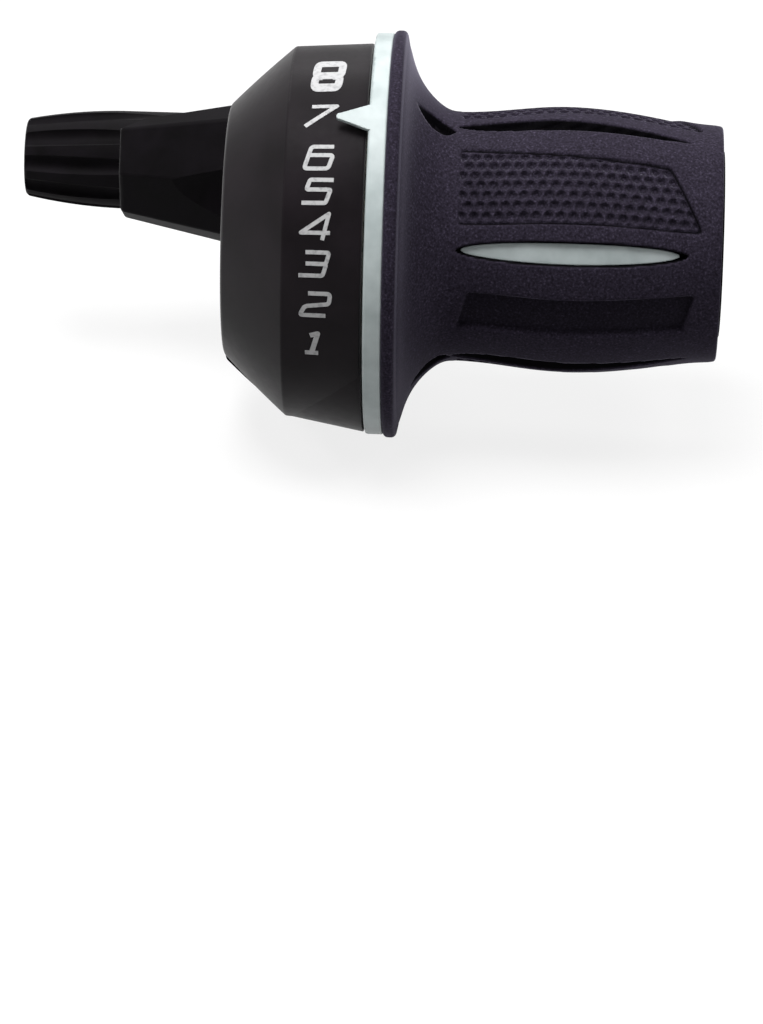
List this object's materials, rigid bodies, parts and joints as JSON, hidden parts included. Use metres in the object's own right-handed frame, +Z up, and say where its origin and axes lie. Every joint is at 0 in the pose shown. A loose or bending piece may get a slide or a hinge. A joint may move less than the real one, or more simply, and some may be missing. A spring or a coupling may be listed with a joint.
{
  "type": "twist grip shifter",
  "caption": "Right-hand twist shifter for a bicycle handlebar: a flared rubber grip turns a cable spool beside a numbered housing with a clamp and a barrel cable adjuster",
  "frame": {"origin": "on the handlebar axis, at the inboard end face of the housing", "axes": "+X along the bar, outboard towards the bar end; +Y forward, away from the rider, through the cable nose; +Z up, opposite the clamp screw"},
  "size_m": [0.0993, 0.0628, 0.0568],
  "materials": {
    "black_nylon": "satin moulded nylon",
    "charcoal_plastic": "fine satin moulding",
    "grey_plastic": "satin moulding",
    "acetal": "natural",
    "grip_rubber": "matte with fine grain",
    "steel": "zinc plated",
    "brass": "turned"
  },
  "bodies": {
    "housing": {"mandrel": "black_nylon", "housing_cover": "charcoal_plastic", "index_ring": "acetal", "clamp_screw": "steel", "clamp_nut": "steel", "retaining_clip": "steel", "cable_guide": "acetal", "adjuster_insert": "brass", "thrust_washer": "acetal"},
    "grip": {"grip_core": "grey_plastic", "cable_spool": "acetal", "detent_spring": "steel", "rubber_grip": "grip_rubber"},
    "adjuster_slide": {"adjuster_washer": "steel", "adjuster_spring": "steel"},
    "adjuster": {"barrel_adjuster": "black_nylon"}
  },
  "joints": [
    {"name": "grip_twist", "type": "hinge", "parent": "housing", "child": "grip", "pos_m": [0.045, 0, 0], "axis": [-1, 0, 0], "range_deg": [-72.2, 18.3], "deforming": ["detent_spring"]},
    {"name": "adjuster_travel", "type": "slide", "parent": "housing", "child": "adjuster_slide", "axis": [-1, 0, 0], "range_m": [0, 0.004], "deforming": ["adjuster_spring"]},
    {"name": "adjuster_turn", "type": "hinge", "parent": "adjuster_slide", "child": "adjuster", "pos_m": [-0.015, 0.0217, 0], "axis": [-1, 0, 0], "range_deg": [0, 1440]}
  ],
  "couplings": [
    {"joint": "adjuster_turn", "follows": "adjuster_travel", "rad_per_m": 6283.2}
  ]
}
